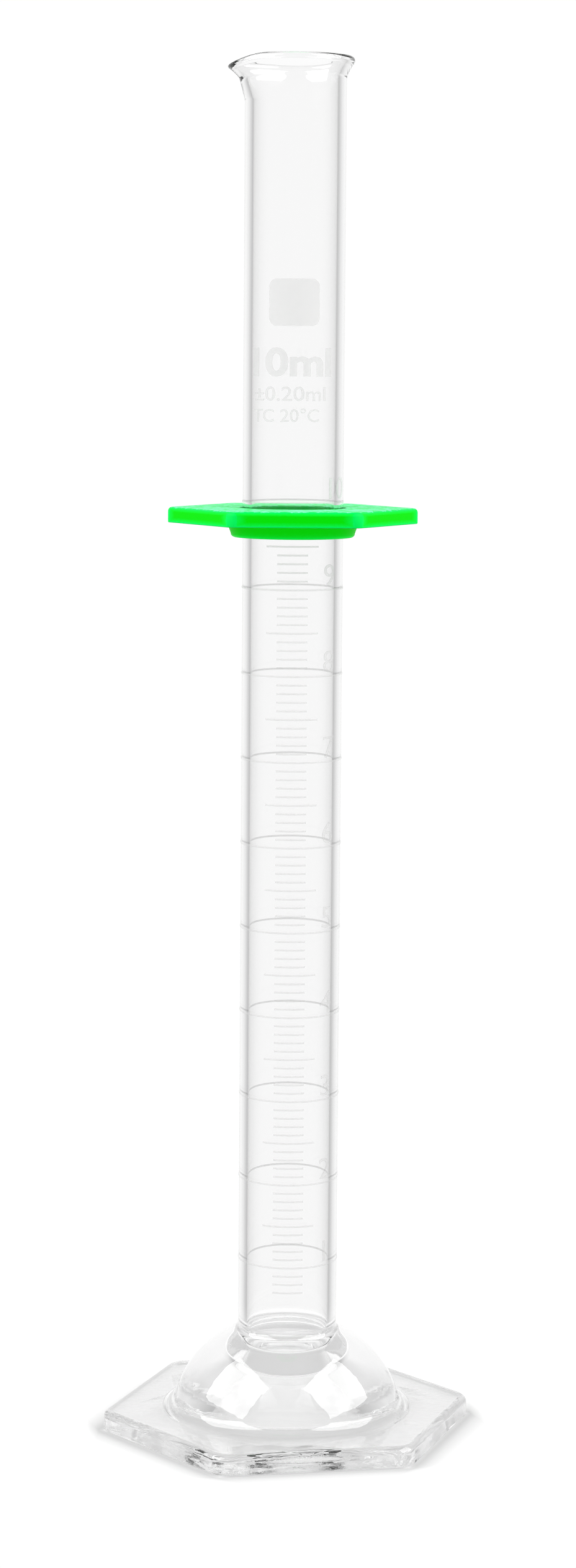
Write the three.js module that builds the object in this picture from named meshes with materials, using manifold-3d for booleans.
// A 10 ml measuring cylinder: a round-bottomed glass tube with a pouring lip, fused into a
// pressed hexagonal glass foot, with fired-on enamel volume marks and a hexagonal plastic
// guard ring that slides on the tube.
//
// Millimetres, +Z up. The origin is the middle of the foot's resting plane, on the tube's axis.
// The marks face -Y and the spout points to -X.

import * as THREE from 'three';
import { mergeVertices } from 'three/addons/utils/BufferGeometryUtils.js';
import Module from 'manifold-3d';

// ---- driving dimensions -------------------------------------------------------------------

// volume scale
const CAPACITY_ML = 10;
const HEADROOM = 56.25; // top mark to rim

// glass tube
const TUBE_BORE_RADIUS = 5.365;
const TUBE_WALL = 1.135;
const TUBE_BOTTOM_THICKNESS = 1.3;
const TUBE_BOTTOM_EDGE_ROUND = 0.8;
const WELL_ROUNDING = 1.8; // depth of the rounded inner bottom

// fire-polished lip and spout
const LIP_FLARE_REACH = 1.0; // beyond the tube
const LIP_FLARE_HEIGHT = 2.4;
const SPOUT_REACH = 1.4; // beyond the lip
const SPOUT_LENGTH = 5.6; // down from the rim
const SPOUT_DIP = 0.8; // how far the spout's edge drops below the rim
const SPOUT_HALF_ANGLE = THREE.MathUtils.degToRad(58);

// pressed foot
const FOOT_CORNER_RADIUS = 24.9; // axis to a corner of the hexagon
const FOOT_TURN = THREE.MathUtils.degToRad(10);
const FOOT_PLATE_THICKNESS = 2.7;
const FOOT_CORNER_ROUND = 1.6;
const FOOT_TOP_EDGE_ROUND = 1.1;
const FOOT_DOME_RADIUS = 14.7; // where the dome runs out into the plate
const FOOT_DOME_ARC = 12.7; // radius of the dome's curved flank
const FOOT_HEIGHT = 12.7; // resting plane to the socket's mouth
const FOOT_FILLET = 1.5; // between the dome and the plate
const SOCKET_DEPTH = 3.1; // socket's mouth down to the ledge that the tube stands on
const SOCKET_LIP = 0.5; // thickness of the dome at the socket's mouth
const SOCKET_LEDGE = 0.7; // width of that ledge under the tube's wall
const FOOT_HOLE_DEPTH = 2.8; // ledge down to the hollow underneath
const HOLLOW_BEYOND_DOME = 1.7; // the hollow's mouth is wider than the dome by this
const HOLLOW_FLANK_BULGE = 1.2; // how far its flank bows up from a straight cone

// plastic guard ring
const GUARD_CORNER_RADIUS = 16.3;
const GUARD_TURN = THREE.MathUtils.degToRad(1);
const GUARD_THICKNESS = 2.0;
const GUARD_CORNER_ROUND = 1.2;
const GUARD_TOP_EDGE_ROUND = 0.7;
const GUARD_COLLAR_TOP_WALL = 1.6;
const GUARD_COLLAR_BOTTOM_WALL = 1.2;
const GUARD_COLLAR_HEIGHT = 1.8;
const GUARD_COLLAR_EDGE_ROUND = 0.5;
const GUARD_BELOW_TOP_MARK = 2.8; // plate's underside below the top mark

// enamel marks
const MARK_WIDTH = 0.25;
const MARK_THICKNESS = 0.07;
const HALF_MARK_ARC = THREE.MathUtils.degToRad(61);

// clearances
const FUSE_GAP = 0.3; // tube in the foot's socket
const GUARD_CLEARANCE = 0.3; // guard's bore around the tube
const MARK_STANDOFF = 0.02; // enamel off the glass

// facets
const ROUND_STEPS = 48;
const MARK_STEPS = 36;
const CURVE_STEPS = 6;
const EDGE_STEPS = 3;
const WELD_DISTANCE = 1e-5;

// ---- sizes that follow ----------------------------------------------------------------------

const CUTTER_OVERRUN = 1; // a cutter runs this far past the face it opens
const HEXAGON_SIDES = 6;
const LEAST_ROUND_SHARE = 0.2; // of a corner's round, where an inset would close it

const CUBIC_MM_PER_ML = 1000;
const BORE_AREA = Math.PI * TUBE_BORE_RADIUS ** 2;
const ML_PITCH = CUBIC_MM_PER_ML / BORE_AREA;
const TUBE_OUTER_RADIUS = TUBE_BORE_RADIUS + TUBE_WALL;
const SEAT_HEIGHT = FOOT_HEIGHT - SOCKET_DEPTH;
const WELL_FLOOR = SEAT_HEIGHT + TUBE_BOTTOM_THICKNESS;

// Height of a volume's mark: the half-ellipsoid bottom holds two thirds of its cylinder.
function markHeight(millilitres) {
  return WELL_FLOOR + WELL_ROUNDING / 3 + millilitres * ML_PITCH;
}

const RIM_HEIGHT = markHeight(CAPACITY_ML) + HEADROOM;
const LIP_OUTER_RADIUS = TUBE_OUTER_RADIUS + LIP_FLARE_REACH;
const SOCKET_RADIUS = TUBE_OUTER_RADIUS + FUSE_GAP;
const GUARD_BORE_RADIUS = TUBE_OUTER_RADIUS + GUARD_CLEARANCE;
const GUARD_HEIGHT = markHeight(CAPACITY_ML) - GUARD_BELOW_TOP_MARK;

// ---- outlines ---------------------------------------------------------------------------------

// Points on the arc of the given radius from one point to another, bulging to the right of the
// direction of travel, both ends included.
function arcBetween([x0, y0], [x1, y1], radius, steps = CURVE_STEPS) {
  const chord = Math.hypot(x1 - x0, y1 - y0);
  const toCentre = Math.sqrt(radius ** 2 - (chord / 2) ** 2);
  const centreX = (x0 + x1) / 2 - (toCentre * (y1 - y0)) / chord;
  const centreY = (y0 + y1) / 2 + (toCentre * (x1 - x0)) / chord;
  const start = Math.atan2(y0 - centreY, x0 - centreX);
  const sweep = 2 * Math.asin(chord / 2 / radius);
  const points = [];
  for (let i = 0; i <= steps; i++) {
    const angle = start + (sweep * i) / steps;
    points.push([centreX + radius * Math.cos(angle), centreY + radius * Math.sin(angle)]);
  }
  return points;
}

// Points on a quarter ellipse about a centre, from one angle in degrees to another.
function ellipseArc([centreX, centreY], [radiusX, radiusY], from, to, steps = CURVE_STEPS) {
  const points = [];
  for (let i = 0; i <= steps; i++) {
    const angle = THREE.MathUtils.degToRad(from + ((to - from) * i) / steps);
    points.push([centreX + radiusX * Math.cos(angle), centreY + radiusY * Math.sin(angle)]);
  }
  return points;
}

// A hexagon with rounded corners, counter-clockwise, its sides moved in by the inset.
function hexagonOutline(cornerRadius, cornerRound, inset) {
  const turn = 360 / HEXAGON_SIDES;
  const slant = 1 / Math.cos(Math.PI / HEXAGON_SIDES);
  const round = Math.max(cornerRound - inset, LEAST_ROUND_SHARE * cornerRound);
  const centreRadius = cornerRadius - (inset + round) * slant;
  const points = [];
  for (let corner = 0; corner < HEXAGON_SIDES; corner++) {
    const facing = corner * turn;
    const middle = THREE.MathUtils.degToRad(facing);
    const centre = [centreRadius * Math.cos(middle), centreRadius * Math.sin(middle)];
    points.push(...ellipseArc(centre, [round, round], facing - turn / 2, facing + turn / 2, EDGE_STEPS));
  }
  return points;
}

// ---- solids -----------------------------------------------------------------------------------

// Welds a geometry's vertices and drops the faces that collapse, as those on a lathe's axis do.
function weld(geometry) {
  const bare = new THREE.BufferGeometry();
  bare.setAttribute('position', geometry.getAttribute('position').clone());
  bare.setIndex(geometry.getIndex());
  const welded = mergeVertices(bare, WELD_DISTANCE);
  const corners = welded.getIndex().array;
  const kept = [];
  for (let i = 0; i < corners.length; i += 3) {
    const [a, b, c] = corners.subarray(i, i + 3);
    if (a !== b && b !== c && c !== a) kept.push(a, b, c);
  }
  welded.setIndex(kept);
  return welded;
}

// Turns an outline of [radius, height] points about the Z axis. It runs anticlockwise, from the
// axis back to the axis.
function turned(outline, steps = ROUND_STEPS) {
  const points = outline.map(([radius, height]) => new THREE.Vector2(radius, height));
  return weld(new THREE.LatheGeometry(points, steps).rotateX(Math.PI / 2));
}

// A convex prism with rounded edges, lofted through layers of { height, outline }, bottom first.
function lofted(layers) {
  const count = layers[0].outline.length;
  const positions = layers.flatMap(({ height, outline }) => outline.flatMap(([x, y]) => [x, y, height]));
  const indices = [];
  for (let layer = 0; layer + 1 < layers.length; layer++) {
    for (let i = 0; i < count; i++) {
      const here = layer * count + i;
      const next = layer * count + ((i + 1) % count);
      indices.push(here, next, next + count, here, next + count, here + count);
    }
  }
  const top = (layers.length - 1) * count;
  for (let i = 1; i + 1 < count; i++) {
    indices.push(0, i + 1, i, top, top + i, top + i + 1);
  }
  const geometry = new THREE.BufferGeometry();
  geometry.setAttribute('position', new THREE.Float32BufferAttribute(positions, 3));
  geometry.setIndex(indices);
  return weld(geometry);
}

// A hexagonal plate with a rounded top edge.
function hexagonPlate({ bottom, thickness, cornerRadius, cornerRound, topEdgeRound }) {
  const layers = [{ height: bottom, outline: hexagonOutline(cornerRadius, cornerRound, 0) }];
  for (let i = 0; i <= EDGE_STEPS; i++) {
    const angle = ((Math.PI / 2) * i) / EDGE_STEPS;
    layers.push({
      height: bottom + thickness - topEdgeRound * (1 - Math.sin(angle)),
      outline: hexagonOutline(cornerRadius, cornerRound, topEdgeRound * (1 - Math.cos(angle))),
    });
  }
  return lofted(layers);
}

// Part of a flat ring, centred on -Y, or the whole ring.
function arcBand({ innerRadius, outerRadius, bottom, height, arc }) {
  const shape = new THREE.Shape();
  let steps = MARK_STEPS / 2;
  if (arc) {
    const start = -Math.PI / 2 - arc / 2;
    const end = start + arc;
    shape.absarc(0, 0, outerRadius, start, end, false);
    shape.absarc(0, 0, innerRadius, end, start, true);
    steps = Math.ceil((MARK_STEPS * arc) / (2 * Math.PI));
  } else {
    shape.absarc(0, 0, outerRadius, 0, 2 * Math.PI, false);
    shape.holes.push(new THREE.Path().absarc(0, 0, innerRadius, 0, 2 * Math.PI, true));
  }
  const options = { depth: height, bevelEnabled: false, curveSegments: steps };
  return weld(new THREE.ExtrudeGeometry(shape, options).translate(0, 0, bottom));
}

// ---- joining and cutting ------------------------------------------------------------------------

const manifold = await Module();
manifold.setup();

function solidOf(geometry) {
  const vertProperties = new Float32Array(geometry.getAttribute('position').array);
  const triVerts = new Uint32Array(geometry.getIndex().array);
  return new manifold.Manifold(new manifold.Mesh({ numProp: 3, vertProperties, triVerts }));
}

function geometryOf(solid) {
  const { vertProperties, triVerts } = solid.getMesh();
  const geometry = new THREE.BufferGeometry();
  geometry.setAttribute('position', new THREE.Float32BufferAttribute(vertProperties, 3));
  geometry.setIndex(new THREE.Uint32BufferAttribute(triVerts, 1));
  return geometry;
}

// ---- materials ----------------------------------------------------------------------------------

const glass = new THREE.MeshStandardMaterial({
  color: 0xeef2f1,
  roughness: 0.03,
  metalness: 0,
  transparent: true,
  opacity: 0.35,
  side: THREE.DoubleSide,
});
const guardPlastic = new THREE.MeshStandardMaterial({ color: 0x00d23c, roughness: 0.45, metalness: 0 });
const enamel = new THREE.MeshStandardMaterial({ color: 0xe8e8e6, roughness: 0.6, metalness: 0 });

const cylinder = new THREE.Group();

function addPart(name, geometry, material) {
  geometry.computeVertexNormals();
  const mesh = new THREE.Mesh(geometry, material);
  mesh.name = name;
  cylinder.add(mesh);
  return mesh;
}

// ---- glass tube -----------------------------------------------------------------------------------

// Pushes the lip out to -X and down a little, most at its middle and at the rim.
function pullSpout(geometry) {
  const position = geometry.getAttribute('position');
  for (let i = 0; i < position.count; i++) {
    const rise = (position.getZ(i) - (RIM_HEIGHT - SPOUT_LENGTH)) / SPOUT_LENGTH;
    const fromSpout = Math.abs(Math.atan2(position.getY(i), -position.getX(i)));
    if (rise <= 0 || fromSpout >= SPOUT_HALF_ANGLE) continue;
    const share = 0.5 + 0.5 * Math.cos((Math.PI * fromSpout) / SPOUT_HALF_ANGLE);
    position.setX(i, position.getX(i) - SPOUT_REACH * share * rise);
    position.setZ(i, position.getZ(i) - SPOUT_DIP * share * rise ** 2);
  }
  return geometry;
}

function tubeGeometry() {
  const flareStart = RIM_HEIGHT - LIP_FLARE_HEIGHT;
  const beadRadius = TUBE_WALL / 2;
  const beadCentre = [LIP_OUTER_RADIUS - beadRadius, RIM_HEIGHT - beadRadius];
  const flareUp = beadCentre[1] - flareStart;
  const flareRadius = (LIP_FLARE_REACH ** 2 + flareUp ** 2) / (2 * LIP_FLARE_REACH);
  const flare = arcBetween([LIP_OUTER_RADIUS, beadCentre[1]], [TUBE_OUTER_RADIUS, flareStart], flareRadius)
    .reverse();
  const innerFlare = flare.map(([radius, height]) => [radius - TUBE_WALL, height]).reverse();
  const spoutBottom = RIM_HEIGHT - SPOUT_LENGTH;
  const round = TUBE_BOTTOM_EDGE_ROUND;
  const bottomEdgeCentre = [TUBE_OUTER_RADIUS - round, SEAT_HEIGHT + round];
  const wellCentre = [0, WELL_FLOOR + WELL_ROUNDING];
  return pullSpout(turned([
    [0, SEAT_HEIGHT],
    ...ellipseArc(bottomEdgeCentre, [round, round], -90, 0, EDGE_STEPS),
    [TUBE_OUTER_RADIUS, spoutBottom],
    [TUBE_OUTER_RADIUS, (spoutBottom + flareStart) / 2],
    ...flare,
    ...ellipseArc(beadCentre, [beadRadius, beadRadius], 0, 180).slice(1, -1),
    ...innerFlare,
    [TUBE_BORE_RADIUS, (spoutBottom + flareStart) / 2],
    [TUBE_BORE_RADIUS, spoutBottom],
    ...ellipseArc(wellCentre, [TUBE_BORE_RADIUS, WELL_ROUNDING], 0, -90),
  ]));
}

addPart('tube', tubeGeometry(), glass);

// ---- pressed foot ---------------------------------------------------------------------------------

function footDome() {
  const plateTop = FOOT_PLATE_THICKNESS;
  const domeFoot = [FOOT_DOME_RADIUS, plateTop + FOOT_FILLET];
  const domeTop = [SOCKET_RADIUS + SOCKET_LIP, FOOT_HEIGHT];
  const dome = arcBetween(domeFoot, domeTop, FOOT_DOME_ARC);
  const filletCentre = [FOOT_DOME_RADIUS + FOOT_FILLET, plateTop + FOOT_FILLET];
  const fillet = ellipseArc(filletCentre, [FOOT_FILLET, FOOT_FILLET], 270, 180, EDGE_STEPS);
  return turned([
    [0, plateTop / 2],
    [filletCentre[0], plateTop / 2],
    ...fillet,
    ...dome.slice(1),
    [0, FOOT_HEIGHT],
  ]);
}

// Everything that is open inside the foot: the hollow underneath, the hole and the tube's socket.
function footHollow() {
  const below = -CUTTER_OVERRUN;
  const above = FOOT_HEIGHT + CUTTER_OVERRUN;
  const mouth = [FOOT_DOME_RADIUS + HOLLOW_BEYOND_DOME, 0];
  const holeMouth = [TUBE_OUTER_RADIUS - SOCKET_LEDGE, SEAT_HEIGHT - FOOT_HOLE_DEPTH];
  const span = Math.hypot(mouth[0] - holeMouth[0], holeMouth[1]);
  const flankRadius = ((span / 2) ** 2 + HOLLOW_FLANK_BULGE ** 2) / (2 * HOLLOW_FLANK_BULGE);
  return turned([
    [0, below],
    [mouth[0], below],
    ...arcBetween(mouth, holeMouth, flankRadius),
    [holeMouth[0], SEAT_HEIGHT],
    [SOCKET_RADIUS, SEAT_HEIGHT],
    [SOCKET_RADIUS, above],
    [0, above],
  ]);
}

function footGeometry() {
  const plate = hexagonPlate({
    bottom: 0,
    thickness: FOOT_PLATE_THICKNESS,
    cornerRadius: FOOT_CORNER_RADIUS,
    cornerRound: FOOT_CORNER_ROUND,
    topEdgeRound: FOOT_TOP_EDGE_ROUND,
  });
  plate.rotateZ(FOOT_TURN);
  return geometryOf(solidOf(plate).add(solidOf(footDome())).subtract(solidOf(footHollow())));
}

addPart('foot', footGeometry(), glass);

// ---- guard ring -------------------------------------------------------------------------------------

function guardGeometry() {
  const plate = hexagonPlate({
    bottom: 0,
    thickness: GUARD_THICKNESS,
    cornerRadius: GUARD_CORNER_RADIUS,
    cornerRound: GUARD_CORNER_ROUND,
    topEdgeRound: GUARD_TOP_EDGE_ROUND,
  });
  const round = GUARD_COLLAR_EDGE_ROUND;
  const topRadius = GUARD_BORE_RADIUS + GUARD_COLLAR_TOP_WALL;
  const bottomRadius = GUARD_BORE_RADIUS + GUARD_COLLAR_BOTTOM_WALL;
  const edgeCentre = [bottomRadius - round, round - GUARD_COLLAR_HEIGHT];
  const collar = turned([
    [0, -GUARD_COLLAR_HEIGHT],
    ...ellipseArc(edgeCentre, [round, round], -90, 0, EDGE_STEPS),
    [topRadius, 0],
    [topRadius, GUARD_THICKNESS / 2],
    [0, GUARD_THICKNESS / 2],
  ]);
  const below = -GUARD_COLLAR_HEIGHT - CUTTER_OVERRUN;
  const above = GUARD_THICKNESS + CUTTER_OVERRUN;
  const bore = turned([
    [0, below],
    [GUARD_BORE_RADIUS, below],
    [GUARD_BORE_RADIUS, above],
    [0, above],
  ]);
  return geometryOf(solidOf(plate).add(solidOf(collar)).subtract(solidOf(bore)));
}

const guard = addPart('guard_ring', guardGeometry(), guardPlastic);
guard.position.z = GUARD_HEIGHT;
guard.rotation.z = GUARD_TURN;

// ---- enamel marks -------------------------------------------------------------------------------------

// A band's flat facets must clear the tube's corners, so its corners stand a little further out.
const MARK_INNER_RADIUS = (TUBE_OUTER_RADIUS + MARK_STANDOFF) / Math.cos(Math.PI / MARK_STEPS);

function addMark(name, millilitres, arc) {
  const band = arcBand({
    innerRadius: MARK_INNER_RADIUS,
    outerRadius: MARK_INNER_RADIUS + MARK_THICKNESS,
    bottom: markHeight(millilitres) - MARK_WIDTH / 2,
    height: MARK_WIDTH,
    arc,
  });
  addPart(name, band, enamel);
}

for (let millilitre = 1; millilitre <= CAPACITY_ML; millilitre++) {
  addMark(`ring_mark_${millilitre}ml`, millilitre);
}
for (let millilitre = 1; millilitre < CAPACITY_ML; millilitre++) {
  addMark(`half_mark_${millilitre}_5ml`, millilitre + 0.5, HALF_MARK_ARC);
}

export default cylinder;
